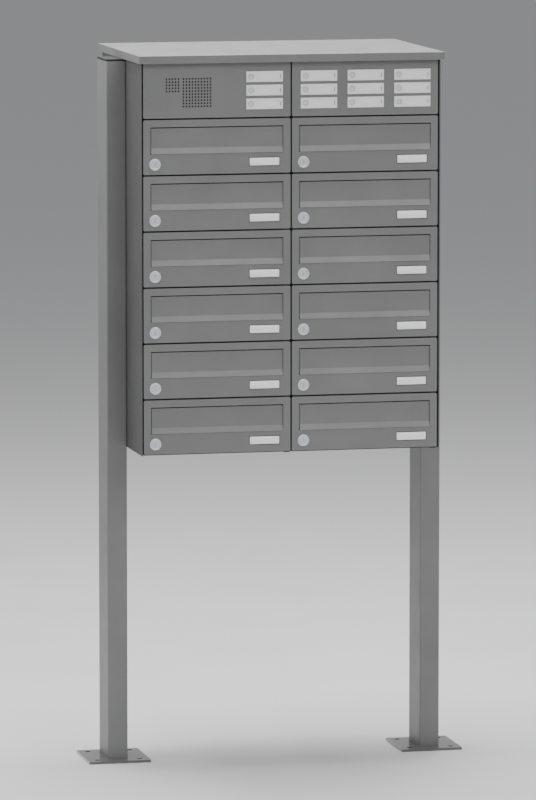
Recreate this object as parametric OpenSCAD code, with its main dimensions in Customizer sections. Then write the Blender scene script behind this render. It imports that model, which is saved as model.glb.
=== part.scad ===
// Free-standing cluster mailbox unit: two columns of letterboxes under a row with an intercom
// and bell buttons, closed by a flat roof and carried between two posts on base plates.
// Millimetres. +Z is up and the fronts face -Y. The origin is on the ground, midway between the posts.

/* [Letterbox grid] */
// Width of one column, from gap centre to gap centre
column_w = 297.5; // [280:0.5:340]
// Height of one row, from gap centre to gap centre
row_h = 110; // [110:5:140]
// Depth of the case, from the door fronts to the back
case_d = 385; // [300:5:420]
// Height of the lowest row line above the ground
case_bottom_z = 633; // [400:1:800]
// Gap between neighbouring doors
door_gap = 3; // [2.8:0.1:4]

/* [Case] */
// Thickness of the case's sheet metal
case_sheet = 1.5; // [1:0.5:2]
// Thickness of the shelves and the partition
shelf_sheet = 2; // [1.5:0.5:2]
// Gap between the outer doors and the side walls
side_gap = 2.5; // [2:0.5:4]
// How far the side walls stand proud of the doors
side_proud = 1; // [0:0.5:3]

/* [Doors] */
// Thickness of the door's front sheet
door_sheet = 2; // [1.5:0.5:2]
// Depth of the door's folded edges
door_fold_d = 12; // [10:1:14]
// Radius of the door's corners
door_corner_r = 3; // [1:0.5:4]
// Radius of the hinge pins
hinge_pin_r = 2; // [1.5:0.5:2]

/* [Flaps] */
// Width of the flap opening's margin at each side of the column
slot_margin_x = 16; // [14:0.5:20]
// Distance from the row line down to the top of the flap opening
slot_top = 15.7; // [15:0.1:18]
// Distance from the row line down to the bottom of the flap opening
slot_bottom = 68.5; // [66:0.5:70]
// Height of the bent lip along the flap's lower edge
flap_lip_h = 11.5; // [8:0.5:14]

/* [Locks and name plates] */
// Radius of the lock's front collar
lock_collar_r = 11.5; // [10:0.5:13]
// Radius of the turning lock plug
lock_plug_r = 7.5; // [6:0.5:8]
// Width of the name plate
name_plate_w = 59.5; // [50:0.5:65]
// Height of the name plate
name_plate_h = 15.2; // [14:0.1:18]

/* [Bell buttons] */
// Width of a bell plate
bell_plate_w = 73; // [72:1:80]
// Height of a bell plate
bell_plate_h = 21; // [18:1:24]
// Radius of a bell button
bell_button_r = 5.5; // [4:0.5:6]

/* [Roof] */
// Height of the roof's folded edge
roof_edge_h = 15; // [14:1:30]
// How far the roof stands over the front and back of the case
roof_overhang_y = 14; // [8:1:40]
// How far the roof stands over each side of the case
roof_overhang_x = 6.5; // [4:0.5:20]

/* [Posts] */
// Width of a post, across the front
post_w = 40; // [40:5:60]
// Depth of a post, front to back
post_d = 90; // [60:5:100]
// Wall thickness of a post
post_wall = 3; // [2:0.5:4]
// Width of a base plate
base_w = 125; // [110:5:160]
// Depth of a base plate, front to back
base_d = 138; // [120:1:180]
// Thickness of a base plate
base_t = 5; // [5:1:12]
// Distance between anchor holes, across the front
anchor_spacing_x = 86; // [80:1:90]
// Distance between anchor holes, front to back
anchor_spacing_y = 100; // [96:1:106]
// Radius of an anchor hole
anchor_hole_r = 5.5; // [4.5:0.5:6.5]

/* [Hidden] */
$fn = 32;

sides = ["left", "right"];
mail_rows = [1, 2, 3, 4, 5, 6];
row_lines = [0, 1, 2, 3, 4, 5, 6];
last_line = 6;
left_bells = [1, 2, 3];
right_bells = [1, 2, 3, 4, 5, 6, 7, 8, 9];

front_y = -case_d / 2;
wall_inner_x = column_w - door_gap / 2 + side_gap;
wall_outer_x = wall_inner_x + case_sheet;
top_plate_z = line_z(-1) + shelf_sheet / 2;
door_w = column_w - door_gap;
door_h = row_h - door_gap;

// The door's hinge axis, measured from the column's left line and the door's front
hinge_x = column_w - 8.5;
hinge_y = 5.5;
hinge_clearance = 0.05;
knuckle_r = 3.5;
knuckle_l = 12;
pin_reach = 11.5;
pin_press_clearance = 0.02;
pin_ear_half_w = 6;
pin_ear_y = 2.6;

// Tabs on the shelves that hold the two fixed front panels
panel_tab_w = 20;
panel_tab_h = 10;
panel_tab_t = 1.5;

// The flap and its hinge axis, measured from the column's left line and the row's top line
flap_left_gap = 1.5;
flap_right_gap = 0.5;
flap_x0 = slot_margin_x + flap_left_gap;
flap_x1 = column_w - slot_margin_x - flap_right_gap;
flap_top = slot_top + 2;
flap_bottom = slot_bottom - 0.5;
flap_set_back = door_sheet + 0.4;
flap_sheet = 1.4;
flap_axis_y = flap_set_back + 2.6;
flap_axis_down = flap_top + 2.5;
flap_barrel_r = 2.5;
flap_pin_r = 1.5;
flap_lip_out = 0.8;
flap_ear_t = 3;
flap_ear_gap = 1.5;
flap_stop_h = 14;

// The lock, measured from the column's left line and the row's top line
lock_x = 24.7;
lock_down = 88.3;
lock_clearance = 0.05;
lock_housing_r = 10;
lock_housing_d = 20;
lock_collar_t = 1.5;
lock_plug_proud = 2;
cam_y = lock_housing_d + 1.5;
cam_t = 2.5;
cam_w = 8;
cam_l = 18;
cam_hub_r = 5.5;
key_slot_w = 1.6;
key_slot_h = 8;
key_slot_d = 6;
keeper_reach = 11;
keeper_y = cam_y - 3;
keeper_t = 2;
keeper_h = 24;

// The name plate's right edge and top edge
name_right = column_w - 24;
name_down = 78.3;
name_recess = 1.2;
name_margin = 1.2;
name_plate_t = 1.6;

// The bell plates sit in three rows, measured up from the bell row's lower line
bell_first_x = 18.9;
bell_pitch_x = 94.2;
bell_first_up = 70.1;
bell_pitch_z = 26.6;
bell_plate_t = 1.5;
bell_button_in = 9.5;
bell_clearance = 0.05;
button_proud = 2;
button_length = 10;
button_flange_r = 7;
button_flange_y = door_sheet + 0.2;
button_flange_t = 1.2;
name_window_x0 = 20;
name_window_x1 = 61;
name_window_margin = 4;
name_window_d = 0.5;
notch_x = 67.4;
notch_w = 1.6;
notch_h = 8;

// The two grilles of the intercom
grille_hole_r = 1.8;
grille_pitch = 6;
mic_x = 46.3;
mic_up = 52.4;
mic_holes = 5;
speaker_x = 80.1;
speaker_up = 22.4;
speaker_holes = 10;
module_gap = 0.5;
speaker_box_d = 28;
module_margin = 6;

// The roof
roof_sheet = 2;
roof_bottom_z = line_z(-1) - shelf_sheet / 2;
roof_top_z = roof_bottom_z + roof_edge_h;
roof_half_w = wall_outer_x + roof_overhang_x;
roof_d = case_d + 2 * roof_overhang_y;
roof_rail_w = 30;
roof_rail_l = case_d - 60;
roof_rail_x = column_w * 2 / 3;

// The posts and what holds the case to them
post_x = wall_outer_x + post_w / 2;
post_cap_t = 4;
post_cap_plug_l = 15;
post_cap_clearance = 0.2;
post_top_z = roof_bottom_z - post_cap_t - 0.5;
post_edge_r = 2.5;
base_corner_r = 2;
bolt_r = 4;
bolt_hole_r = 4.2;
bolt_head_r = 7;
bolt_head_t = 4;
bolt_grip = 8;
nut_r = 7.5;
nut_t = 6;
bolt_rows = [2, 5];
bolt_y = 25;
socket_r = 2.5;

function line_z(line) = case_bottom_z + (last_line - line) * row_h;
function column_x(side) = side == "left" ? -column_w : 0;
function part_name(part, side, number) = str(part, "_", side, "_", number);
function bells(side) = side == "left" ? left_bells : right_bells;
function bell_column(side, bell) = side == "left" ? 2 : floor((bell - 1) / 3);
function bell_row(bell) = (bell - 1) % 3;
function bell_x(side, bell) = bell_first_x + bell_column(side, bell) * bell_pitch_x;
function bell_up(bell) = bell_first_up - bell_row(bell) * bell_pitch_z;

// Places children at a column's left line, the door fronts and a row line
module at_line(side, line) {
    translate([column_x(side), front_y, line_z(line)])
        children();
}

// Cuboid between two corners
module block(low, high) {
    translate(low)
        cube(high - low);
}

// Extrudes a flat outline, drawn in X and Z, from depth y0 to depth y1
module upright(y0, y1) {
    translate([0, y1, 0])
        rotate([90, 0, 0])
            linear_extrude(y1 - y0)
                children();
}

// Rectangle with round corners, between two corners
module rounded_rectangle(low, high, r) {
    translate([low[0] + r, low[1]])
        square([high[0] - low[0] - 2 * r, high[1] - low[1]]);
    translate([low[0], low[1] + r])
        square([high[0] - low[0], high[1] - low[1] - 2 * r]);
    for (x = [low[0] + r, high[0] - r], z = [low[1] + r, high[1] - r])
        translate([x, z])
            circle(r);
}

// Cylinder along the depth, from y0 to y1
module round_bar(x, z, r, y0, y1) {
    translate([x, y1, z])
        rotate([90, 0, 0])
            cylinder(r = r, h = y1 - y0);
}

// Cylinder along the width, from x0 to x1
module cross_bar(y, z, r, x0, x1) {
    translate([x0, y, z])
        rotate([0, 90, 0])
            cylinder(r = r, h = x1 - x0);
}

// Folded sheet tray that forms a door or a panel, hanging down from the row line
module front_tray() {
    edge = door_gap / 2;
    difference() {
        upright(0, door_fold_d)
            rounded_rectangle([edge, -row_h + edge], [column_w - edge, -edge], door_corner_r);
        block(
            [edge + case_sheet, door_sheet, -row_h + edge + case_sheet],
            [column_w - edge - case_sheet, door_fold_d + 1, -edge - case_sheet]
        );
    }
}

// Hinge knuckles inside the door's right edge, top and bottom
module door_knuckles() {
    for (z = [-door_gap / 2 - 1 - knuckle_l, -row_h + door_gap / 2 + 1]) {
        translate([hinge_x, hinge_y, z])
            cylinder(r = knuckle_r, h = knuckle_l);
        block(
            [hinge_x - knuckle_r, door_sheet / 2, z],
            [column_w - door_gap / 2 - case_sheet / 2, hinge_y, z + knuckle_l]
        );
    }
}

// Ears that carry the flap's pin, and the strip that the flap rests on
module flap_supports() {
    for (x = [slot_margin_x - flap_ear_gap - flap_ear_t, column_w - slot_margin_x + flap_ear_gap])
        block(
            [x, door_sheet / 2, -flap_axis_down - 4],
            [x + flap_ear_t, flap_axis_y + 4, -flap_axis_down + 4]
        );
    block(
        [slot_margin_x - 4, door_sheet / 2, -slot_bottom - 6],
        [column_w - slot_margin_x + 4, flap_set_back + 3.4, -slot_bottom - 2]
    );
    block(
        [slot_margin_x + 4, flap_set_back + 1.9, -slot_bottom - 3],
        [column_w - slot_margin_x - 4, flap_set_back + 3.4, -slot_bottom + flap_stop_h - 4]
    );
}

// Letterbox door: folded tray with flap opening, lock housing, hinge knuckles and name plate
module door(side, row) {
    color("dimgray")
        at_line(side, row - 1) {
            difference() {
                union() {
                    front_tray();
                    door_knuckles();
                    flap_supports();
                    round_bar(lock_x, -lock_down, lock_housing_r, door_sheet / 2, lock_housing_d);
                    round_bar(lock_x, -lock_down, lock_collar_r, -lock_collar_t, door_sheet / 2);
                }
                upright(-1, door_sheet + 0.01)
                    rounded_rectangle(
                        [slot_margin_x, -slot_bottom], [column_w - slot_margin_x, -slot_top], 1
                    );
                round_bar(
                    lock_x, -lock_down, lock_plug_r + lock_clearance, -lock_collar_t - 1,
                    lock_housing_d + 1
                );
                for (x = [slot_margin_x - flap_ear_gap, column_w - slot_margin_x + flap_ear_gap])
                    cross_bar(
                        flap_axis_y, -flap_axis_down, flap_pin_r + hinge_clearance,
                        x - flap_ear_t - 1, x + flap_ear_t + 1
                    );
                for (z = [-door_gap / 2 - 1 - knuckle_l, -row_h - 1])
                    translate([hinge_x, hinge_y, z])
                        cylinder(r = hinge_pin_r + hinge_clearance, h = door_gap / 2 + 2 + knuckle_l);
                block(
                    [name_right - name_plate_w - name_margin, -1,
                     -name_down - name_plate_h - name_margin],
                    [name_right + name_margin, name_recess, -name_down + name_margin]
                );
            }
            block(
                [name_right - name_plate_w, name_recess - name_plate_t, -name_down - name_plate_h],
                [name_right, name_recess, -name_down]
            );
        }
}

// Flap: flat sheet with a rolled hinge barrel, a pin and an outward lip
module flap(side, row) {
    back = flap_set_back + flap_sheet;
    bend = -flap_bottom + flap_lip_h;
    color("gray")
        at_line(side, row - 1) {
            translate([flap_x0, 0, 0])
                rotate([90, 0, 90])
                    linear_extrude(flap_x1 - flap_x0)
                        polygon([
                            [flap_set_back, -flap_top], [flap_set_back, bend],
                            [-flap_lip_out, -flap_bottom], [-flap_lip_out + flap_sheet, -flap_bottom],
                            [back, bend - 0.4], [back, -flap_top]
                        ]);
            cross_bar(flap_axis_y, -flap_axis_down, flap_barrel_r, flap_x0, flap_x1);
            cross_bar(
                flap_axis_y, -flap_axis_down, flap_pin_r,
                slot_margin_x - flap_ear_gap - flap_ear_t + 0.3,
                column_w - slot_margin_x + flap_ear_gap + flap_ear_t - 0.3
            );
        }
}

// Turning lock plug with a key slot, and the cam on its end, hanging down when unlocked
module lock(side, row) {
    color("silver")
        at_line(side, row - 1) {
            difference() {
                round_bar(lock_x, -lock_down, lock_plug_r, -lock_plug_proud, cam_y);
                block(
                    [lock_x - key_slot_w / 2, -lock_plug_proud - 1, -lock_down - key_slot_h / 2],
                    [lock_x + key_slot_w / 2, key_slot_d, -lock_down + key_slot_h / 2]
                );
            }
            round_bar(lock_x, -lock_down, cam_hub_r, cam_y, cam_y + cam_t);
            block(
                [lock_x - cam_w / 2, cam_y, -lock_down - cam_l],
                [lock_x + cam_w / 2, cam_y + cam_t, -lock_down]
            );
        }
}

// Bell button with the flange that keeps it behind the panel
module button(side, bell) {
    x = bell_x(side, bell) + bell_button_in;
    z = bell_up(bell) + bell_plate_h / 2;
    color("gainsboro")
        at_line(side, 0) {
            round_bar(x, z, bell_button_r, -button_proud, button_length - button_proud);
            round_bar(x, z, button_flange_r, button_flange_y, button_flange_y + button_flange_t);
        }
}

// Holes through a front panel for the bell buttons of one side
module bell_holes(side, y0, y1) {
    for (bell = bells(side))
        round_bar(
            bell_x(side, bell) + bell_button_in, bell_up(bell) + bell_plate_h / 2,
            bell_button_r + bell_clearance, y0, y1
        );
}

// Square grid of round grille holes
module grille(x, up, count) {
    for (i = [0 : count - 1], k = [0 : count - 1])
        round_bar(
            x + grille_hole_r + i * grille_pitch, up + grille_hole_r + k * grille_pitch,
            grille_hole_r, -1, door_sheet + 1
        );
}

// Front panel of the intercom, with its microphone and loudspeaker grilles
module speaker_panel() {
    color("dimgray")
        difference() {
            at_line("left", -1)
                front_tray();
            at_line("left", 0) {
                bell_holes("left", -1, door_sheet + 1);
                grille(mic_x, mic_up, mic_holes);
                grille(speaker_x, speaker_up, speaker_holes);
            }
        }
}

// Front panel of the bell buttons
module bell_panel() {
    color("dimgray")
        difference() {
            at_line("right", -1)
                front_tray();
            at_line("right", 0)
                bell_holes("right", -1, door_sheet + 1);
        }
}

// One plate for each bell, with a name window and a notch for lifting its cover
module bell_plates() {
    color("lightgray")
        for (side = sides, bell = bells(side))
            at_line(side, 0)
                translate([bell_x(side, bell), 0, bell_up(bell)])
                    difference() {
                        upright(-bell_plate_t, 0)
                            rounded_rectangle([0, 0], [bell_plate_w, bell_plate_h], 0.8);
                        round_bar(
                            bell_button_in, bell_plate_h / 2, bell_button_r + bell_clearance,
                            -bell_plate_t - 1, 1
                        );
                        block(
                            [name_window_x0, -bell_plate_t - 1, name_window_margin],
                            [name_window_x1, -bell_plate_t + name_window_d,
                             bell_plate_h - name_window_margin]
                        );
                        block(
                            [notch_x, -bell_plate_t - 1, bell_plate_h / 2 - notch_h / 2],
                            [notch_x + notch_w, 1, bell_plate_h / 2 + notch_h / 2]
                        );
                    }
}

// Box behind one grille
module grille_box(x, up, count, depth) {
    size = (count - 1) * grille_pitch + 2 * grille_hole_r;
    y = door_sheet + module_gap;
    block(
        [x - module_margin, y, up - module_margin],
        [x + size + module_margin, y + depth, up + size + module_margin]
    );
}

// Loudspeaker and microphone units behind the grilles, on one carrier plate
module intercom_module() {
    carrier_y = door_sheet + module_gap + speaker_box_d;
    color("black")
        at_line("left", 0)
            union() {
                grille_box(speaker_x + module_margin, speaker_up, speaker_holes, speaker_box_d);
                grille_box(mic_x - module_margin, mic_up, mic_holes, speaker_box_d);
                block([30, carrier_y, 12], [150, carrier_y + 2, 92]);
                block([30, carrier_y, shelf_sheet / 2], [150, carrier_y + 20, 14]);
            }
}

// Side walls and back of the case
module casing() {
    low_z = line_z(last_line) - shelf_sheet / 2;
    color("dimgray") {
        for (mirrored = [0, 1])
            mirror([mirrored, 0, 0])
                difference() {
                    block(
                        [wall_inner_x, front_y - side_proud, low_z],
                        [wall_outer_x, -front_y, top_plate_z]
                    );
                    case_bolts(bolt_hole_r);
                }
        block(
            [-wall_inner_x, -front_y - case_sheet, low_z],
            [wall_inner_x, -front_y, top_plate_z]
        );
    }
}

// Straight bars along the case bolts of the right side
module case_bolts(r) {
    for (row = bolt_rows, y = [-bolt_y, bolt_y])
        cross_bar(y, line_z(row) + row_h / 2, r, wall_inner_x - 1, wall_outer_x + bolt_grip);
}

// Shelf of one column with the ear that holds its hinge pin
module shelf(side, line) {
    inner = shelf_sheet / 2;
    x0 = side == "left" ? -wall_inner_x : inner;
    x1 = side == "left" ? -inner : wall_inner_x;
    difference() {
        union() {
            block(
                [x0, front_y + door_fold_d - 0.5, line_z(line) - shelf_sheet / 2],
                [x1, -front_y - case_sheet, line_z(line) + shelf_sheet / 2]
            );
            if (line >= 0)
                at_line(side, line)
                    block(
                        [hinge_x - pin_ear_half_w, pin_ear_y, -shelf_sheet / 2],
                        [hinge_x + pin_ear_half_w, door_fold_d, shelf_sheet / 2]
                    );
        }
        if (line >= 0)
            at_line(side, line)
                translate([hinge_x, hinge_y, -shelf_sheet])
                    cylinder(r = hinge_pin_r + pin_press_clearance, h = 2 * shelf_sheet);
    }
}

// Tabs behind the folded edges of a fixed front panel, on the shelves below and above it
module panel_tabs(side) {
    for (x = [column_w / 6, column_w * 5 / 6 - panel_tab_w], z = [0, row_h - panel_tab_h])
        at_line(side, 0)
            block(
                [x, door_fold_d, z + shelf_sheet / 2 - (z == 0 ? 0 : shelf_sheet)],
                [x + panel_tab_w, door_fold_d + panel_tab_t,
                 z + panel_tab_h - (z == 0 ? 0 : shelf_sheet / 2)]
            );
}

// Partition between the columns, shelves between the rows, floor and top
module compartments() {
    color("slategray") {
        block(
            [-shelf_sheet / 2, front_y + door_fold_d + 2.5, line_z(last_line) - shelf_sheet / 2],
            [shelf_sheet / 2, -front_y - case_sheet, top_plate_z]
        );
        for (side = sides, line = concat([-1], row_lines))
            shelf(side, line);
        for (side = sides)
            panel_tabs(side);
    }
}

// Tabs on the wall and the partition that the cams turn behind
module lock_keepers() {
    color("slategray")
        for (side = sides, row = mail_rows)
            at_line(side, row - 1) {
                wall_x = side == "left" ? column_w - wall_inner_x : shelf_sheet / 2;
                block(
                    [wall_x, keeper_y, -lock_down - keeper_h / 2],
                    [keeper_reach, keeper_y + keeper_t, -lock_down + keeper_h / 2]
                );
            }
}

// Roof tray with folded edges, on two rails over the case
module roof() {
    color("darkgray") {
        difference() {
            block(
                [-roof_half_w, -roof_d / 2, roof_bottom_z],
                [roof_half_w, roof_d / 2, roof_top_z]
            );
            block(
                [-roof_half_w + roof_sheet, -roof_d / 2 + roof_sheet, roof_bottom_z - 1],
                [roof_half_w - roof_sheet, roof_d / 2 - roof_sheet, roof_top_z - roof_sheet]
            );
        }
        for (x = [-roof_rail_x, roof_rail_x])
            block(
                [x - roof_rail_w / 2, -roof_rail_l / 2, top_plate_z],
                [x + roof_rail_w / 2, roof_rail_l / 2, roof_top_z - roof_sheet / 2]
            );
    }
}

// Hinge pins in the shelves' ears, each serving the door above and the door below
module hinge_pins() {
    color("silver")
        for (side = sides, line = row_lines)
            at_line(side, line) {
                low = line == last_line ? -shelf_sheet / 2 : -pin_reach;
                high = line == 0 ? shelf_sheet / 2 : pin_reach;
                translate([hinge_x, hinge_y, low])
                    cylinder(r = hinge_pin_r, h = high - low);
            }
}

// Round-cornered slab with a post's outline, from z0 to z1
module post_section(z0, z1) {
    translate([0, 0, z0])
        linear_extrude(z1 - z0)
            rounded_rectangle([-post_w / 2, -post_d / 2], [post_w / 2, post_d / 2], post_edge_r);
}

// Post tube, open at its top
module post() {
    difference() {
        post_section(base_t, post_top_z);
        block(
            [-post_w / 2 + post_wall, -post_d / 2 + post_wall, base_t - 1],
            [post_w / 2 - post_wall, post_d / 2 - post_wall, post_top_z + 1]
        );
    }
}

// Plastic cap pushed into the top of each post
module post_caps() {
    inset = post_wall + post_cap_clearance;
    color("black")
        for (x = [-post_x, post_x])
            translate([x, 0, 0]) {
                post_section(post_top_z, post_top_z + post_cap_t);
                block(
                    [-post_w / 2 + inset, -post_d / 2 + inset, post_top_z - post_cap_plug_l],
                    [post_w / 2 - inset, post_d / 2 - inset, post_top_z + 1]
                );
            }
}

// The two posts
module posts() {
    color("gray")
        for (mirrored = [0, 1])
            mirror([mirrored, 0, 0])
                difference() {
                    translate([post_x, 0, 0])
                        post();
                    case_bolts(bolt_hole_r);
                }
}

// The two base plates, each with four anchor holes
module base_plates() {
    color("darkgray")
        for (x = [-post_x, post_x])
            translate([x, 0, 0])
                difference() {
                    linear_extrude(base_t)
                        rounded_rectangle(
                            [-base_w / 2, -base_d / 2], [base_w / 2, base_d / 2], base_corner_r
                        );
                    for (i = [-0.5, 0.5], k = [-0.5, 0.5])
                        translate([i * anchor_spacing_x, k * anchor_spacing_y, -1])
                            cylinder(r = anchor_hole_r, h = base_t + 2);
                }
}

// Screws that hold the case to the posts, each with its nut inside the post
module fasteners() {
    nut_x = wall_outer_x + post_wall;
    color("silver")
        for (mirrored = [0, 1], row = bolt_rows, y = [-bolt_y, bolt_y])
            mirror([mirrored, 0, 0])
                difference() {
                    union() {
                        cross_bar(
                            y, line_z(row) + row_h / 2, bolt_head_r,
                            wall_inner_x - bolt_head_t, wall_inner_x
                        );
                        cross_bar(
                            y, line_z(row) + row_h / 2, bolt_r,
                            wall_inner_x - 1, nut_x + nut_t + 2
                        );
                        translate([nut_x, y, line_z(row) + row_h / 2])
                            rotate([0, 90, 0])
                                cylinder(r = nut_r, h = nut_t, $fn = 6);
                    }
                    translate([wall_inner_x - bolt_head_t - 1, y, line_z(row) + row_h / 2])
                        rotate([0, 90, 0])
                            cylinder(r = socket_r, h = bolt_head_t, $fn = 6);
                }
}

posts();
post_caps();
base_plates();
casing();
compartments();
lock_keepers();
roof();
speaker_panel();
bell_panel();
bell_plates();
intercom_module();
union() { fasteners(); hinge_pins(); }
for (side = sides, row = mail_rows) {
    door(side, row);
    flap(side, row);
    lock(side, row);
}
for (side = sides, bell = bells(side))
    button(side, bell);
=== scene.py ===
"""Visual model of the free-standing cluster mailbox unit, built around its CAD frame.

Places and sizes are in metres. +Z is up and the fronts face -Y.
"""
import math

import bmesh
import bpy
from mathutils import Matrix, Vector


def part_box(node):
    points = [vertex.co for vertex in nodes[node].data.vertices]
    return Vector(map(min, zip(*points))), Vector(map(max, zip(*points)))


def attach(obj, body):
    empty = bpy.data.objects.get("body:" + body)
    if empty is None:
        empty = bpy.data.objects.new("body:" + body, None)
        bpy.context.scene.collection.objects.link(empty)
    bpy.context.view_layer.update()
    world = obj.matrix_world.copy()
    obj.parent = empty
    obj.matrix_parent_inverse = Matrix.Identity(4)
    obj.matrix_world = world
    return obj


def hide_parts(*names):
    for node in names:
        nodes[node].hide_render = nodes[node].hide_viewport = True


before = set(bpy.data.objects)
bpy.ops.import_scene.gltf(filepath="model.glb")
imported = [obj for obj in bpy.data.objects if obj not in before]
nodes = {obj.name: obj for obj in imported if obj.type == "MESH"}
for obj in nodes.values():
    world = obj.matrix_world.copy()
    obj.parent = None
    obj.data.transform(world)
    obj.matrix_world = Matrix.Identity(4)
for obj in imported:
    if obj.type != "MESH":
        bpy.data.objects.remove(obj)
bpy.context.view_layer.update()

MM = 0.001

SIDES = ("left", "right")
ROWS = (1, 2, 3, 4, 5, 6)
BELLS = {"left": (1, 2, 3), "right": (1, 2, 3, 4, 5, 6, 7, 8, 9)}
DOORS = [(side, row) for side in SIDES for row in ROWS]
BUTTONS = [(side, bell) for side in SIDES for bell in BELLS[side]]

# Heights of the lines between the rows, and of the line under the last row
HALF_DOOR_GAP = 1.5 * MM
ROW_TOPS = [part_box(f"door_left_{row}")[1].z + HALF_DOOR_GAP for row in ROWS]
LAST_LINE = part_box("door_left_6")[0].z - HALF_DOOR_GAP


# ---------------------------------------------------------------- materials

# Sockets of a colour Mix node, whose names are shared with its other sockets
MIX_FACTOR, MIX_FIRST, MIX_SECOND, MIX_RESULT = 0, 6, 7, 2

FLAKE_TINT = (0.62, 0.62, 0.62)
DUST_TINT = (0.36, 0.35, 0.33)
NICKEL_TINT = (0.94, 0.99, 1.05)
NEUTRAL_TINT = (1, 1, 1)


def socket(node, *names):
    """The first input of the node with one of these names."""
    for name in names:
        if name in node.inputs:
            return node.inputs[name]
    raise KeyError(names)


def new_material(name, metallic=0.0, coat=0.0, coat_roughness=0.2, ior=1.45):
    """A node material with a Principled shader: the material, its node tree and the shader."""
    material = bpy.data.materials.new(name)
    material.use_nodes = True
    tree = material.node_tree
    tree.nodes.clear()
    output = tree.nodes.new("ShaderNodeOutputMaterial")
    shader = tree.nodes.new("ShaderNodeBsdfPrincipled")
    tree.links.new(shader.outputs["BSDF"], output.inputs["Surface"])
    shader.inputs["Metallic"].default_value = metallic
    shader.inputs["IOR"].default_value = ior
    socket(shader, "Coat Weight").default_value = coat
    socket(shader, "Coat Roughness").default_value = coat_roughness
    return material, tree, shader


def object_coordinates(tree, scale=(1, 1, 1)):
    """Object coordinates, stretched by scale."""
    coordinates = tree.nodes.new("ShaderNodeTexCoord")
    mapping = tree.nodes.new("ShaderNodeMapping")
    mapping.inputs["Scale"].default_value = scale
    tree.links.new(coordinates.outputs["Object"], mapping.inputs["Vector"])
    return mapping.outputs["Vector"]


def noise(tree, vector, scale, detail, roughness):
    """A noise texture's value."""
    texture = tree.nodes.new("ShaderNodeTexNoise")
    texture.inputs["Scale"].default_value = scale
    texture.inputs["Detail"].default_value = detail
    texture.inputs["Roughness"].default_value = roughness
    tree.links.new(vector, texture.inputs["Vector"])
    return texture.outputs["Fac"]


def cells(tree, vector, scale):
    """A cell texture's distance, for grains and flakes."""
    texture = tree.nodes.new("ShaderNodeTexVoronoi")
    texture.inputs["Scale"].default_value = scale
    tree.links.new(vector, texture.inputs["Vector"])
    return texture.outputs["Distance"]


def remap(tree, value, range_in, range_out):
    """A value mapped from one range to another."""
    node = tree.nodes.new("ShaderNodeMapRange")
    for name, number in zip(("From Min", "From Max", "To Min", "To Max"), (*range_in, *range_out)):
        node.inputs[name].default_value = number
    tree.links.new(value, node.inputs["Value"])
    return node.outputs["Result"]


def mixed_colour(tree, factor, first, second):
    """A colour between two others."""
    node = tree.nodes.new("ShaderNodeMix")
    node.data_type = "RGBA"
    node.inputs[MIX_FIRST].default_value = (*first, 1)
    node.inputs[MIX_SECOND].default_value = (*second, 1)
    tree.links.new(factor, node.inputs[MIX_FACTOR])
    return node.outputs[MIX_RESULT]


def tinted(tree, colour, factor, tint, amount):
    """A colour taken towards a tint, by a factor times an amount."""
    node = tree.nodes.new("ShaderNodeMix")
    node.data_type = "RGBA"
    node.inputs[MIX_SECOND].default_value = (*tint, 1)
    scaled = remap(tree, factor, (0, 1), (0, amount))
    tree.links.new(scaled, node.inputs[MIX_FACTOR])
    tree.links.new(colour, node.inputs[MIX_FIRST])
    return node.outputs[MIX_RESULT]


def bump(tree, height, strength, distance, normal=None):
    """A normal bent by a height, on top of another normal if there is one."""
    node = tree.nodes.new("ShaderNodeBump")
    node.inputs["Strength"].default_value = strength
    node.inputs["Distance"].default_value = distance
    tree.links.new(height, node.inputs["Height"])
    if normal is not None:
        tree.links.new(normal, node.inputs["Normal"])
    return node.outputs["Normal"]


def added(tree, first, second, weight):
    """first plus weight times second."""
    node = tree.nodes.new("ShaderNodeMath")
    node.operation = "MULTIPLY_ADD"
    node.inputs[1].default_value = weight
    tree.links.new(second, node.inputs[0])
    tree.links.new(first, node.inputs[2])
    return node.outputs[0]


def dust_patches(tree, place):
    """1 in patches on faces that look up, and 0 elsewhere."""
    geometry = tree.nodes.new("ShaderNodeNewGeometry")
    split = tree.nodes.new("ShaderNodeSeparateXYZ")
    tree.links.new(geometry.outputs["Normal"], split.inputs["Vector"])
    facing_up = remap(tree, split.outputs["Z"], (0.6, 1.0), (0, 1))
    patches = remap(tree, noise(tree, place, scale=24, detail=6, roughness=0.7), (0.42, 0.75), (0, 1))
    product = tree.nodes.new("ShaderNodeMath")
    product.operation = "MULTIPLY"
    tree.links.new(facing_up, product.inputs[0])
    tree.links.new(patches, product.inputs[1])
    return product.outputs[0]


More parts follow.
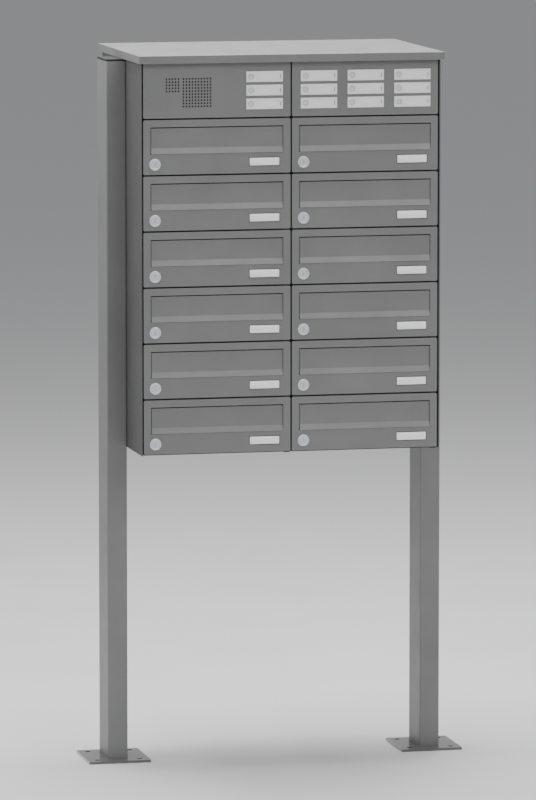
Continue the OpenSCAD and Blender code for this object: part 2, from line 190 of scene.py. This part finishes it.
def powder_coat(name, grey, roughness, texture=1.0, metallic=0.25, dust=0.25, coat=0.12, coat_roughness=0.35):
    """Fine-textured powder coat: pebbled, with small flakes, clouded a little and dusty where it faces up."""
    material, tree, shader = new_material(name, metallic=metallic, coat=coat, coat_roughness=coat_roughness)
    place = object_coordinates(tree)
    cloud = noise(tree, place, scale=7, detail=4, roughness=0.6)
    grains = noise(tree, place, scale=1500, detail=3, roughness=0.65)
    smudges = noise(tree, place, scale=16, detail=5, roughness=0.62)
    waves = noise(tree, place, scale=90, detail=2, roughness=0.5)
    sparkle = remap(tree, cells(tree, place, scale=2600), (0.0, 0.28), (1, 0))
    clouded = remap(tree, cloud, (0.3, 0.7), (0, 1))
    colour = mixed_colour(tree, clouded, (grey * 0.93,) * 3, (grey * 1.06,) * 3)
    colour = tinted(tree, colour, sparkle, FLAKE_TINT, amount=0.3)
    colour = tinted(tree, colour, dust_patches(tree, place), DUST_TINT, amount=dust)
    tree.links.new(colour, shader.inputs["Base Color"])
    rough = remap(tree, smudges, (0.25, 0.75), (roughness - 0.06, roughness + 0.07))
    tree.links.new(added(tree, rough, grains, weight=0.05), shader.inputs["Roughness"])
    pebbles = added(tree, grains, cells(tree, place, scale=900), weight=0.6)
    wavy = bump(tree, waves, strength=0.10 * texture, distance=0.0006)
    pebbled = bump(tree, pebbles, strength=0.16 * texture, distance=0.0002, normal=wavy)
    tree.links.new(pebbled, shader.inputs["Normal"])
    return material


def brushed_metal(name, grey, tint, roughness, direction, metallic=0.9, strength=0.06):
    """Metal brushed along one direction, with fine scratches and a soft cloud of handling marks."""
    material, tree, shader = new_material(name, metallic=metallic)
    lines = noise(tree, object_coordinates(tree, direction), scale=60, detail=4, roughness=0.7)
    cloud = noise(tree, object_coordinates(tree), scale=120, detail=4, roughness=0.6)
    low = tuple(grey * 0.9 * t for t in tint)
    high = tuple(min(1.0, grey * 1.08 * t) for t in tint)
    colour = mixed_colour(tree, remap(tree, lines, (0.3, 0.7), (0, 1)), low, high)
    tree.links.new(colour, shader.inputs["Base Color"])
    rough = remap(tree, cloud, (0.3, 0.7), (roughness - 0.05, roughness + 0.08))
    tree.links.new(added(tree, rough, lines, weight=0.05), shader.inputs["Roughness"])
    tree.links.new(bump(tree, lines, strength, distance=0.0001), shader.inputs["Normal"])
    return material


def moulded_plastic(name, colour, roughness, grain=1800):
    """Moulded plastic with a fine grain and faint flow marks."""
    material, tree, shader = new_material(name)
    place = object_coordinates(tree)
    flow = noise(tree, place, scale=40, detail=3, roughness=0.6)
    fine = noise(tree, place, scale=grain, detail=2, roughness=0.5)
    low = tuple(c * 0.95 for c in colour)
    high = tuple(min(1.0, c * 1.04) for c in colour)
    tree.links.new(mixed_colour(tree, flow, low, high), shader.inputs["Base Color"])
    rough = remap(tree, fine, (0.2, 0.8), (roughness - 0.05, roughness + 0.05))
    tree.links.new(rough, shader.inputs["Roughness"])
    tree.links.new(bump(tree, fine, strength=0.12, distance=0.0001), shader.inputs["Normal"])
    return material


def paper_card(name, colour):
    """Matte card, with the faint fibre of paper."""
    material, tree, shader = new_material(name)
    fibre = noise(tree, object_coordinates(tree, (1, 1, 3)), scale=900, detail=5, roughness=0.7)
    cloud = noise(tree, object_coordinates(tree), scale=60, detail=3, roughness=0.6)
    low = tuple(c * 0.965 for c in colour)
    paper = mixed_colour(tree, added(tree, cloud, fibre, weight=0.4), low, colour)
    tree.links.new(paper, shader.inputs["Base Color"])
    tree.links.new(remap(tree, fibre, (0.2, 0.8), (0.55, 0.7)), shader.inputs["Roughness"])
    tree.links.new(bump(tree, fibre, strength=0.08, distance=0.0001), shader.inputs["Normal"])
    return material


def clear_plastic(name):
    """Clear moulded cover, with faint wiping marks."""
    material, tree, shader = new_material(name, ior=1.46)
    marks = noise(tree, object_coordinates(tree), scale=140, detail=5, roughness=0.7)
    colour = mixed_colour(tree, marks, (0.93, 0.95, 0.96), (0.99, 0.995, 1.0))
    tree.links.new(colour, shader.inputs["Base Color"])
    tree.links.new(remap(tree, marks, (0.3, 0.7), (0.04, 0.12)), shader.inputs["Roughness"])
    socket(shader, "Transmission Weight").default_value = 1.0
    shader.inputs["Alpha"].default_value = 0.07
    return material


FRONT = powder_coat("front_powder_coat", grey=0.200, roughness=0.45)
# Painted shade: the case's grey is darker than the doors', though the real case is most likely painted the
# same, to stand for the shade on its side walls.
CASE_SHADE_DARKENED = powder_coat("case_powder_coat_shade_darkened", grey=0.090, roughness=0.52)
POST = powder_coat("post_powder_coat", grey=0.196, roughness=0.46)
ROOF = powder_coat("roof_powder_coat", grey=0.205, roughness=0.36, texture=0.8, dust=0.1)
BASE = powder_coat(
    "base_powder_coat", grey=0.10, roughness=0.3, texture=0.08, metallic=0.1, dust=0.05,
    coat=1.0, coat_roughness=0.05,
)
LOCK = brushed_metal("lock_nickel", 0.72, NICKEL_TINT, roughness=0.42, direction=(40, 1, 1), metallic=0.6)
COLLAR = brushed_metal("collar_nickel", 0.78, NICKEL_TINT, roughness=0.34, direction=(1, 1, 30), metallic=0.6)
BELL = brushed_metal(
    "bell_aluminium", 0.97, NEUTRAL_TINT, roughness=0.42, direction=(1, 1, 70), metallic=0.4, strength=0.03
)
BUTTON = brushed_metal(
    "button_steel", 0.78, (1, 1, 1.01), roughness=0.4, direction=(1, 1, 40), metallic=0.5, strength=0.03
)
ZINC = brushed_metal("zinc_plate", 0.55, (1, 1, 0.96), roughness=0.38, direction=(1, 1, 20))
BLACK = moulded_plastic("black_moulding", (0.018, 0.018, 0.019), roughness=0.4)
# Painted shade: black for the pieces put in the door gaps and in the recesses round the name plates, where
# there is only shade.
GAP_SHADE_BLACK = moulded_plastic("gap_shade_black", (0.022, 0.022, 0.022), roughness=0.7, grain=900)
CARD = paper_card("name_card", (1.0, 1.0, 1.0))
BELL_CARD = paper_card("bell_card", (0.97, 0.97, 0.975))
CLEAR = clear_plastic("clear_cover")


# ---------------------------------------------------------------- helpers

CORNER_STEPS = 5
SMALLEST_CORNER = 0.15 * MM
EDGE_SEGMENTS = 2


def paint(obj, material):
    """Gives an object one material in place of what it has."""
    if obj.material_slots:
        for slot in obj.material_slots:
            slot.material = material
    else:
        obj.data.materials.append(material)


def soften(obj, width):
    """Merges flat faces and rounds sharp edges, with modifiers only."""
    flat = obj.modifiers.new("flat_faces", "DECIMATE")
    flat.decimate_type = "DISSOLVE"
    flat.angle_limit = math.radians(1.0)
    bevel = obj.modifiers.new("edges", "BEVEL")
    bevel.width = width
    bevel.segments = EDGE_SEGMENTS
    bevel.limit_method = "ANGLE"
    bevel.angle_limit = math.radians(40)
    bevel.use_clamp_overlap = True
    bevel.harden_normals = True
    shade(obj)


def shade(obj, angle=35):
    """Smooth shading, split at edges sharper than an angle in degrees."""
    for polygon in obj.data.polygons:
        polygon.use_smooth = True
    split = obj.modifiers.new("sharp_edges", "EDGE_SPLIT")
    split.split_angle = math.radians(angle)


def finished(name, builder, material, body, slot, *stands_for, smooth=35):
    """A new piece from a bmesh, with its material and body. The slot argument is not used. smooth=0 leaves
    its faces flat.
    """
    mesh = bpy.data.meshes.new(name)
    builder.normal_update()
    builder.to_mesh(mesh)
    builder.free()
    piece = bpy.data.objects.new(name, mesh)
    bpy.context.scene.collection.objects.link(piece)
    mesh.materials.append(material)
    if smooth:
        shade(piece, smooth)
    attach(piece, body)
    if stands_for:
        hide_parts(*stands_for)
    return piece


def merge(builder, part):
    """Adds one bmesh to another, and frees it."""
    mesh = bpy.data.meshes.new("merged_part")
    part.to_mesh(mesh)
    part.free()
    builder.from_mesh(mesh)
    bpy.data.meshes.remove(mesh)


def join_rings(builder, first, second):
    """Faces between two rings of vertices. A ring of one vertex is the middle of a disc or a dome."""
    count = max(len(first), len(second))
    for i in range(count):
        j = (i + 1) % count
        if len(first) == 1:
            builder.faces.new((first[0], second[j], second[i]))
        elif len(second) == 1:
            builder.faces.new((first[i], first[j], second[0]))
        else:
            builder.faces.new((first[i], first[j], second[j], second[i]))


def lathe(builder, centre, profile, steps, closed=False):
    """Turns a profile of (radius, depth) points about an axis along +Y through centre."""
    rings = []
    for radius, depth in profile:
        if radius == 0:
            rings.append([builder.verts.new(centre + Vector((0, depth, 0)))])
            continue
        ring = []
        for i in range(steps):
            angle = 2 * math.pi * i / steps
            offset = Vector((radius * math.cos(angle), depth, radius * math.sin(angle)))
            ring.append(builder.verts.new(centre + offset))
        rings.append(ring)
    for first, second in zip(rings, rings[1:] + rings[:1] if closed else rings[1:]):
        join_rings(builder, first, second)


def rounded_loop(low, high, radius):
    """Points of a rectangle with round corners in X and Z."""
    points = []
    corners = (
        (high[0] - radius, high[1] - radius, 0), (low[0] + radius, high[1] - radius, 90),
        (low[0] + radius, low[1] + radius, 180), (high[0] - radius, low[1] + radius, 270),
    )
    for cx, cz, start in corners:
        for i in range(CORNER_STEPS + 1):
            angle = math.radians(start + 90 * i / CORNER_STEPS)
            points.append((cx + radius * math.cos(angle), cz + radius * math.sin(angle)))
    return points


def loop_ring(builder, low, high, radius, depth):
    """A ring of vertices along a rounded rectangle at a depth."""
    return [builder.verts.new((x, depth, z)) for x, z in rounded_loop(low, high, radius)]


def lofted(builder, low, high, radius, stages):
    """Joins rounded rectangles at several depths and closes both ends. Each stage is (inset, depth)."""
    rings = []
    for inset, depth in stages:
        inset_low = (low[0] + inset, low[1] + inset)
        inset_high = (high[0] - inset, high[1] - inset)
        rings.append(loop_ring(builder, inset_low, inset_high, max(radius - inset, SMALLEST_CORNER), depth))
    for first, second in zip(rings, rings[1:]):
        join_rings(builder, first, second)
    builder.faces.new(rings[0])
    builder.faces.new(list(reversed(rings[-1])))
    bmesh.ops.recalc_face_normals(builder, faces=builder.faces)


def box_between(builder, low, high, edge):
    """Adds a cuboid with slightly rounded edges."""
    part = bmesh.new()
    bmesh.ops.create_cube(part, size=1)
    middle = (Vector(low) + Vector(high)) / 2
    size = Vector(high) - Vector(low)
    part.transform(Matrix.Translation(middle) @ Matrix.Diagonal((*size, 1)))
    bmesh.ops.bevel(
        part, geom=part.edges[:], offset=edge, segments=EDGE_SEGMENTS, affect="EDGES", clamp_overlap=True
    )
    merge(builder, part)


# ---------------------------------------------------------------- carried-over CAD nodes

# The material of each node, and how far its edges are rounded, in millimetres
LOOKS = {
    "posts": (POST, 0.5), "post_caps": (BLACK, 0.3), "base_plates": (BASE, 0.5), "casing": (CASE_SHADE_DARKENED, 0.3),
    "compartments": (CASE_SHADE_DARKENED, 0.25), "lock_keepers": (ZINC, 0.3), "roof": (ROOF, 0.9),
    "speaker_panel": (FRONT, 0.1), "bell_panel": (FRONT, 0.4),
    "bell_plates": (BELL, 0.2), "intercom_module": (BLACK, 0.6), "fasteners": (ZINC, 0.3),
}
DOOR_LOOKS = {"door": (FRONT, 0.7), "flap": (FRONT, 0.35), "lock": (LOCK, 0.25)}
for side, row in DOORS:
    for part, look in DOOR_LOOKS.items():
        LOOKS[f"{part}_{side}_{row}"] = look

for name, (material, edge_width) in LOOKS.items():
    paint(nodes[name], material)
    soften(nodes[name], edge_width * MM)


# ---------------------------------------------------------------- door details

# The CAD lock collar stands in front of the door, and the lock plug in front of the collar
CAD_COLLAR_T = 1.5 * MM
PLUG_PROUD = 0.5 * MM

# The turned collar that covers the CAD one
COLLAR_BORE_GAP = 0.12 * MM
COLLAR_WIDTH = 4.1 * MM
COLLAR_SUNK = 0.4 * MM
COLLAR_FACE_OUT = 0.3 * MM
COLLAR_STEPS = 48

# The shutter in the lock plug's key slot
SHUTTER_HALF_W = 0.78 * MM
SHUTTER_HALF_H = 3.9 * MM
SHUTTER_EDGE_R = 0.3 * MM

# The CAD name plate, from the door's right and top edges
NAME_IN = 22.5 * MM
NAME_DOWN = 76.8 * MM
NAME_W = 59.5 * MM
NAME_H = 15.2 * MM
NAME_PROUD = 0.4 * MM
NAME_CARD_T = 1.0 * MM
NAME_CORNER_R = 0.8 * MM
NAME_RIM = 0.8 * MM

# The black ring that paints the shade in the recess round the name plate: its inner and outer gaps round the
# plate, and its depths behind the door's front
SHADE_RING_INNER = 0.1 * MM
SHADE_RING_OUTER = 1.1 * MM
SHADE_RING_FRONT = 0.35 * MM
SHADE_RING_BACK = 1.1 * MM
SHADE_RING_CORNER_R = 0.9 * MM


def door_front(side, row):
    """Depth of the door's front face, behind its lock collar."""
    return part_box(f"door_{side}_{row}")[0].y + CAD_COLLAR_T


def lock_centre(side, row):
    """Middle of the lock plug in X and Z, and its radius. The cam hangs down from the plug."""
    low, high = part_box(f"lock_{side}_{row}")
    radius = (high.x - low.x) / 2
    return Vector(((low.x + high.x) / 2, 0, high.z - radius)), radius


def lock_collar(side, row):
    """Collar round the lock plug, seated on the door."""
    centre, radius = lock_centre(side, row)
    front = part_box(f"lock_{side}_{row}")[0].y + PLUG_PROUD
    bore = radius + COLLAR_BORE_GAP
    outer = radius + COLLAR_WIDTH
    face = front - COLLAR_FACE_OUT
    back = door_front(side, row) + COLLAR_SUNK
    profile = (
        (bore, back), (bore, front - 0.02 * MM), (radius + 0.4 * MM, face), (outer - 1.0 * MM, face),
        (outer - 0.35 * MM, front - 0.1 * MM), (outer, front + 0.45 * MM), (outer, back),
    )
    builder = bmesh.new()
    lathe(builder, centre, profile, COLLAR_STEPS, closed=True)
    bmesh.ops.recalc_face_normals(builder, faces=builder.faces)
    finished(f"lock_collar_{side}_{row}", builder, COLLAR, f"door_{side}_{row}", "lock_metal", smooth=50)


def key_shutter(side, row):
    """Dust shutter in the key slot."""
    centre = lock_centre(side, row)[0]
    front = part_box(f"lock_{side}_{row}")[0].y
    builder = bmesh.new()
    lofted(
        builder, (centre.x - SHUTTER_HALF_W, centre.z - SHUTTER_HALF_H),
        (centre.x + SHUTTER_HALF_W, centre.z + SHUTTER_HALF_H), SHUTTER_EDGE_R,
        ((0.15 * MM, front + 0.5 * MM), (0.0, front + 0.65 * MM), (0.0, front + 1.1 * MM)),
    )
    finished(f"key_shutter_{side}_{row}", builder, ZINC, f"lock_{side}_{row}", "zinc_steel", smooth=40)


def name_plate_box(side, row):
    """The name plate's corners."""
    door_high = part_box(f"door_{side}_{row}")[1]
    right = door_high.x - NAME_IN
    top = door_high.z - NAME_DOWN
    front = door_front(side, row) - NAME_PROUD
    low = Vector((right - NAME_W, front, top - NAME_H))
    return low, Vector((right, front + NAME_CARD_T, top))


def name_card(side, row):
    """White card with a bevelled edge, in the door's recess."""
    low, high = name_plate_box(side, row)
    builder = bmesh.new()
    lofted(builder, (low.x, low.z), (high.x, high.z), NAME_CORNER_R, (
        (0.35 * MM, low.y - 0.10 * MM), (0.0, low.y + 0.15 * MM), (-0.05 * MM, high.y - 0.05 * MM),
    ))
    finished(f"name_card_{side}_{row}", builder, CARD, f"door_{side}_{row}", "name_card", smooth=40)


def name_cover(side, row):
    """Clear cover with a bevelled rim, on the name card."""
    low, high = name_plate_box(side, row)
    builder = bmesh.new()
    cover_low = (low.x + NAME_RIM, low.z + NAME_RIM)
    cover_high = (high.x - NAME_RIM, high.z - NAME_RIM)
    lofted(builder, cover_low, cover_high, NAME_CORNER_R, (
        (0.5 * MM, low.y - 0.55 * MM), (0.1 * MM, low.y - 0.4 * MM), (0.0, low.y - 0.12 * MM),
    ))
    finished(f"name_cover_{side}_{row}", builder, CLEAR, f"door_{side}_{row}", "clear_cover", smooth=40)


def name_plate_shade_ring(side, row):
    """Black ring in the recess round the name plate: painted shade for the recess's dark outline."""
    low, high = name_plate_box(side, row)
    front = door_front(side, row)
    builder = bmesh.new()
    rings = []
    for gap, depth in (
        (SHADE_RING_INNER, SHADE_RING_FRONT), (SHADE_RING_OUTER, SHADE_RING_FRONT),
        (SHADE_RING_OUTER, SHADE_RING_BACK), (SHADE_RING_INNER, SHADE_RING_BACK),
    ):
        ring_low = (low.x - gap, low.z - gap)
        ring_high = (high.x + gap, high.z + gap)
        rings.append(loop_ring(builder, ring_low, ring_high, SHADE_RING_CORNER_R, front + depth))
    for first, second in zip(rings, rings[1:] + rings[:1]):
        join_rings(builder, first, second)
    bmesh.ops.recalc_face_normals(builder, faces=builder.faces)
    finished(f"name_plate_shade_ring_{side}_{row}", builder, GAP_SHADE_BLACK, f"door_{side}_{row}", "black_plastic", smooth=40)


for side, row in DOORS:
    lock_collar(side, row)
    key_shutter(side, row)
    name_card(side, row)
    name_cover(side, row)
    name_plate_shade_ring(side, row)


# ---------------------------------------------------------------- bell row details

# How far the button's flange stands out past its cap, all round
FLANGE_OUT = 1.5 * MM
BUTTON_STEPS = 40

# The bell plate's window, from the button's axis
WINDOW_LEFT = 10.5 * MM
WINDOW_RIGHT = 51.5 * MM
WINDOW_HALF_H = 6.5 * MM
CARD_EDGE_GAP = 0.15 * MM
COVER_EDGE_GAP = 0.1 * MM


def bell_button(side, bell):
    """Push button with a chamfered edge, and the flange behind the panel."""
    name = f"button_{side}_{bell}"
    low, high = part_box(name)
    centre = Vector(((low.x + high.x) / 2, 0, (low.z + high.z) / 2))
    flange = (high.x - low.x) / 2
    radius = flange - FLANGE_OUT
    front = low.y
    profile = (
        (0, front + 0.12 * MM), (radius * 0.45, front + 0.08 * MM), (radius * 0.72, front),
        (radius * 0.80, front + 0.08 * MM), (radius * 0.90, front + 0.8 * MM),
        (radius * 0.91, front + 4.2 * MM), (flange, front + 4.25 * MM),
        (flange, front + 5.35 * MM), (radius * 0.6, front + 5.45 * MM),
        (radius * 0.6, high.y - 0.2 * MM), (radius * 0.5, high.y), (0, high.y),
    )
    builder = bmesh.new()
    lathe(builder, centre, profile, BUTTON_STEPS)
    bmesh.ops.recalc_face_normals(builder, faces=builder.faces)
    finished(name + "_cap", builder, BUTTON, name, "button_metal", name, smooth=50)


def bell_window(side, bell, gap):
    """Lower left and upper right corners in the bell plate's window, a gap in from its edges."""
    low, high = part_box(f"button_{side}_{bell}")
    button_x, button_z = (low.x + high.x) / 2, (low.z + high.z) / 2
    left, right = button_x + WINDOW_LEFT, button_x + WINDOW_RIGHT
    return (left + gap, button_z - WINDOW_HALF_H + gap), (right - gap, button_z + WINDOW_HALF_H - gap)


def bell_card(side, bell):
    """Name card in the bell plate's window."""
    plate_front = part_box("bell_plates")[0].y
    builder = bmesh.new()
    lofted(builder, *bell_window(side, bell, CARD_EDGE_GAP), 0.4 * MM, (
        (0.0, plate_front + 0.3 * MM), (0.0, plate_front + 0.48 * MM),
    ))
    finished(f"bell_card_{side}_{bell}", builder, BELL_CARD, "frame", "name_card", smooth=0)


def bell_cover(side, bell):
    """Clear cover over the name card."""
    plate_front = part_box("bell_plates")[0].y
    builder = bmesh.new()
    lofted(builder, *bell_window(side, bell, COVER_EDGE_GAP), 0.5 * MM, (
        (0.35 * MM, plate_front - 0.12 * MM), (0.05 * MM, plate_front - 0.02 * MM),
        (0.0, plate_front + 0.26 * MM),
    ))
    finished(f"bell_cover_{side}_{bell}", builder, CLEAR, "frame", "clear_cover", smooth=40)


for side, bell in BUTTONS:
    bell_button(side, bell)
    bell_card(side, bell)
    bell_cover(side, bell)


# ---------------------------------------------------------------- case details

SHADE_PIECE_EDGE_R = 0.3 * MM

# The black strips on the shelves, which paint the shade in the door gaps: inset from the doors' sides, half
# thickness and depths behind the doors' fronts
SHADE_STRIP_INSET = 2 * MM
SHADE_STRIP_HALF_T = 1.25 * MM
SHELF_SHADE_STRIP_FRONT = 10.6 * MM
SHELF_SHADE_STRIP_BACK = 11.9 * MM

# The strip on the partition: its depths, and its gaps at the lower and upper end
PARTITION_SHADE_STRIP_FRONT = 13.2 * MM
PARTITION_SHADE_STRIP_BACK = 14.9 * MM
PARTITION_GAP_LOW = 1 * MM
PARTITION_GAP_HIGH = 2 * MM

# The black covers that paint the shade over the shelves' hinge ears, and the hinge pin's distance from the
# door's right edge
HINGE_IN = 7.0 * MM
HINGE_COVER_HALF_W = 6.2 * MM
HINGE_COVER_HALF_T = 1.2 * MM
HINGE_COVER_FRONT = 2.4 * MM
HINGE_COVER_BACK = 10.5 * MM

RIVET_R = 3.2 * MM
RIVET_H = 1.1 * MM
RIVET_STEPS = 20
RIVET_SIDE_IN = 12 * MM
RIVET_LOW_IN = 8 * MM
RIVET_HIGH_IN = 22 * MM


def gap_shade_strips():
    """Black strips on the front edges of the shelves and the partition: painted shade for the dark door gaps.
    """
    front = door_front("left", 1)
    low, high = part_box("compartments")
    strips = bmesh.new()
    for z in ROW_TOPS + [LAST_LINE]:
        for side in SIDES:
            door_low, door_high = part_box(f"door_{side}_1")
            box_between(
                strips, (door_low.x + SHADE_STRIP_INSET, front + SHELF_SHADE_STRIP_FRONT, z - SHADE_STRIP_HALF_T),
                (door_high.x - SHADE_STRIP_INSET, front + SHELF_SHADE_STRIP_BACK, z + SHADE_STRIP_HALF_T), SHADE_PIECE_EDGE_R,
            )
    box_between(
        strips, (-SHADE_STRIP_HALF_T, front + PARTITION_SHADE_STRIP_FRONT, low.z + PARTITION_GAP_LOW),
        (SHADE_STRIP_HALF_T, front + PARTITION_SHADE_STRIP_BACK, high.z - PARTITION_GAP_HIGH), SHADE_PIECE_EDGE_R,
    )
    finished("gap_shade_strips", strips, GAP_SHADE_BLACK, "frame", "black_plastic", smooth=50)


def hinge_ear_shade_covers():
    """Black covers on the shelves' hinge ears: painted shade, so the ears stay dark in the door gaps."""
    front = door_front("left", 1)
    shade_covers = bmesh.new()
    for z in ROW_TOPS + [LAST_LINE]:
        for side in SIDES:
            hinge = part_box(f"door_{side}_1")[1].x - HINGE_IN
            box_between(
                shade_covers, (hinge - HINGE_COVER_HALF_W, front + HINGE_COVER_FRONT, z - HINGE_COVER_HALF_T),
                (hinge + HINGE_COVER_HALF_W, front + HINGE_COVER_BACK, z + HINGE_COVER_HALF_T), SHADE_PIECE_EDGE_R,
            )
    finished("hinge_ear_shade_covers", shade_covers, BLACK, "frame", "black_plastic", smooth=50)


def rivet(builder, centre):
    """Domed rivet head on a face that looks along +Y."""
    head = bmesh.new()
    profile = (
        (0, -RIVET_H), (RIVET_R * 0.45, -RIVET_H * 0.92), (RIVET_R * 0.8, -RIVET_H * 0.6),
        (RIVET_R, -RIVET_H * 0.12), (RIVET_R, 0),
    )
    lathe(head, Vector((0, 0, 0)), profile, RIVET_STEPS)
    turn = Vector((0, -1, 0)).rotation_difference(Vector((0, 1, 0))).to_matrix().to_4x4()
    head.transform(Matrix.Translation(centre) @ turn)
    merge(builder, head)


def back_rivets():
    """Rows of five rivets that fix the back wall: at each row line, near its bottom and near its top."""
    low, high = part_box("casing")
    builder = bmesh.new()
    for z in ROW_TOPS + [low.z + RIVET_LOW_IN, high.z - RIVET_HIGH_IN]:
        for x in (low.x + RIVET_SIDE_IN, -low.x * 0.5, 0.0, low.x * 0.5, high.x - RIVET_SIDE_IN):
            rivet(builder, Vector((x, high.y, z)))
    bmesh.ops.recalc_face_normals(builder, faces=builder.faces)
    finished("back_rivets", builder, ZINC, "frame", "zinc_steel", smooth=60)


gap_shade_strips()
hinge_ear_shade_covers()
back_rivets()


# ---------------------------------------------------------------- stage, light and camera

FLOOR_HALF_SIZE = 30
FLOOR_GREYS = (0.54, 0.54, 0.54), (0.58, 0.58, 0.58)
WORLD_COLOUR = (0.80, 0.81, 0.83, 1)
WORLD_STRENGTH = 0.54

# A point inside the lower half of the case, where the front lights aim
FRONT_AIM = (0, 0, 0.9)

# Each light's name, place, target, width and height, and power in watts
LIGHTS = (
    ("front_key", (1.2, -4.8, 4.3), FRONT_AIM, (3.0, 2.4), 108),
    ("front_fill", (-3.4, -4.8, 2.2), FRONT_AIM, (2.2, 2.6), 15),
    ("overhead", (0, 0.6, 4.4), (0, 0, 1.4), (3.0, 3.0), 420),
    ("left_edge", (-1.25, -0.1, 1.95), (-0.34, 0.0, 1.35), (0.5, 0.5), 11),
)

# The camera's sensor width and focal length in millimetres, its place, and where it looks
SENSOR_W = 36
LENS = 279.09
CAMERA_PLACE = (-2.7213, -11.9998, 2.2240)
CAMERA_AZIMUTH = math.radians(12.763)
CAMERA_DOWN = math.radians(7.005)
CLIP_END = 100


def soft_light(name, position, target, size, power):
    """Area light aimed at a point."""
    data = bpy.data.lights.new(name, "AREA")
    data.shape = "RECTANGLE"
    data.size, data.size_y = size
    data.energy = power
    light = bpy.data.objects.new(name, data)
    bpy.context.scene.collection.objects.link(light)
    light.location = position
    light.rotation_mode = "QUATERNION"
    light.rotation_quaternion = (Vector(target) - Vector(position)).to_track_quat("-Z", "Y")


def studio_floor():
    """Pale floor, a little clouded."""
    builder = bmesh.new()
    bmesh.ops.create_grid(builder, x_segments=8, y_segments=8, size=FLOOR_HALF_SIZE)
    mesh = bpy.data.meshes.new("studio_floor")
    builder.to_mesh(mesh)
    builder.free()
    floor = bpy.data.objects.new("studio_floor", mesh)
    bpy.context.scene.collection.objects.link(floor)
    material, tree, shader = new_material("pale_floor")
    cloud = noise(tree, object_coordinates(tree), scale=3, detail=4, roughness=0.6)
    tree.links.new(mixed_colour(tree, cloud, *FLOOR_GREYS), shader.inputs["Base Color"])
    tree.links.new(remap(tree, cloud, (0.3, 0.7), (0.6, 0.75)), shader.inputs["Roughness"])
    mesh.materials.append(material)


def surround():
    """Dim, even light from all round."""
    world = bpy.data.worlds.new("studio_world")
    bpy.context.scene.world = world
    world.use_nodes = True
    background = world.node_tree.nodes["Background"]
    background.inputs["Color"].default_value = WORLD_COLOUR
    background.inputs["Strength"].default_value = WORLD_STRENGTH


def camera():
    """Long lens from the front left, higher than the roof."""
    data = bpy.data.cameras.new("camera")
    data.sensor_width = SENSOR_W
    data.lens = LENS
    data.clip_end = CLIP_END
    cam = bpy.data.objects.new("camera", data)
    bpy.context.scene.collection.objects.link(cam)
    cam.location = CAMERA_PLACE
    look = Vector((
        math.sin(CAMERA_AZIMUTH) * math.cos(CAMERA_DOWN),
        math.cos(CAMERA_AZIMUTH) * math.cos(CAMERA_DOWN),
        -math.sin(CAMERA_DOWN),
    ))
    cam.rotation_mode = "QUATERNION"
    cam.rotation_quaternion = look.to_track_quat("-Z", "Y")
    bpy.context.scene.camera = cam


studio_floor()
surround()
for light_settings in LIGHTS:
    soft_light(*light_settings)
camera()
